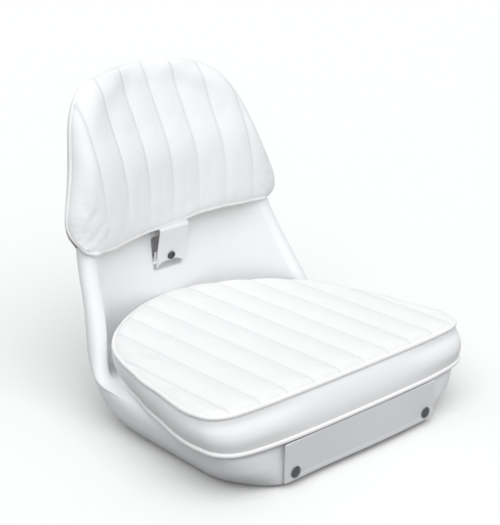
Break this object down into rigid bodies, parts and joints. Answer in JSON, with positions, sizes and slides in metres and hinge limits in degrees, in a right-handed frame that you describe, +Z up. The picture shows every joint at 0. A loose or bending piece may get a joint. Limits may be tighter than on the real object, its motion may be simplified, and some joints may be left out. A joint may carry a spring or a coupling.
{
  "type": "boat helm seat",
  "caption": "Moulded bucket helm seat with a channelled seat cushion, a pulled-on quilted back cover, welted edges and snapped flap and strap.",
  "frame": {"origin": "centre of the shell's flat underside, where the seat bolts to a pedestal or box", "axes": "+Z up out of the underside, -Y towards the front edge that the sitter faces over, X across the seat"},
  "size_m": [0.4574, 0.4723, 0.4333],
  "materials": {
    "shell_plastic": "satin moulded polyethylene",
    "vinyl": "soft satin marine vinyl",
    "piping": "satin vinyl piping",
    "foam": "open-cell foam",
    "snap_chrome": "polished",
    "brass_insert": "machined"
  },
  "bodies": {
    "seat_shell": {"shell": "shell_plastic", "insert_front_left": "brass_insert", "insert_rear_left": "brass_insert", "insert_front_right": "brass_insert", "insert_rear_right": "brass_insert", "shell_stud_left": "snap_chrome", "shell_stud_right": "snap_chrome", "back_foam": "foam", "back_front_panel": "vinyl", "back_rear_panel": "vinyl", "back_edge_welt": "piping", "back_hem_welt": "piping"},
    "seat_cushion": {"seat_bottom_panel": "vinyl", "seat_foam": "foam", "seat_boxing": "vinyl", "seat_top_panel": "vinyl", "seat_upper_welt": "piping", "seat_lower_welt": "piping"},
    "flap": {"front_flap": "vinyl", "flap_cap_left": "snap_chrome", "flap_cap_right": "snap_chrome", "flap_socket_left": "snap_chrome", "flap_socket_right": "snap_chrome"},
    "strap": {"front_strap": "vinyl", "strap_cap": "snap_chrome", "strap_socket": "snap_chrome"},
    "tab": {"rear_tab": "vinyl", "tab_stud": "snap_chrome"}
  },
  "joints": [
    {"name": "cushion_off", "type": "slide", "parent": "seat_shell", "child": "seat_cushion", "axis": [0, -1, 0], "range_m": [0, 0.36]},
    {"name": "flap_lift", "type": "hinge", "parent": "seat_cushion", "child": "flap", "pos_m": [0, -0.17954, 0.0586], "axis": [-1, 0, 0], "range_deg": [0, 90]},
    {"name": "strap_lift", "type": "hinge", "parent": "seat_shell", "child": "strap", "pos_m": [0, 0.19294, 0.20711], "axis": [-1, 0, 0], "range_deg": [0, 90]},
    {"name": "tab_out", "type": "slide", "parent": "seat_shell", "child": "tab", "axis": [0, 1, 0], "range_m": [0, 0.05]}
  ]
}
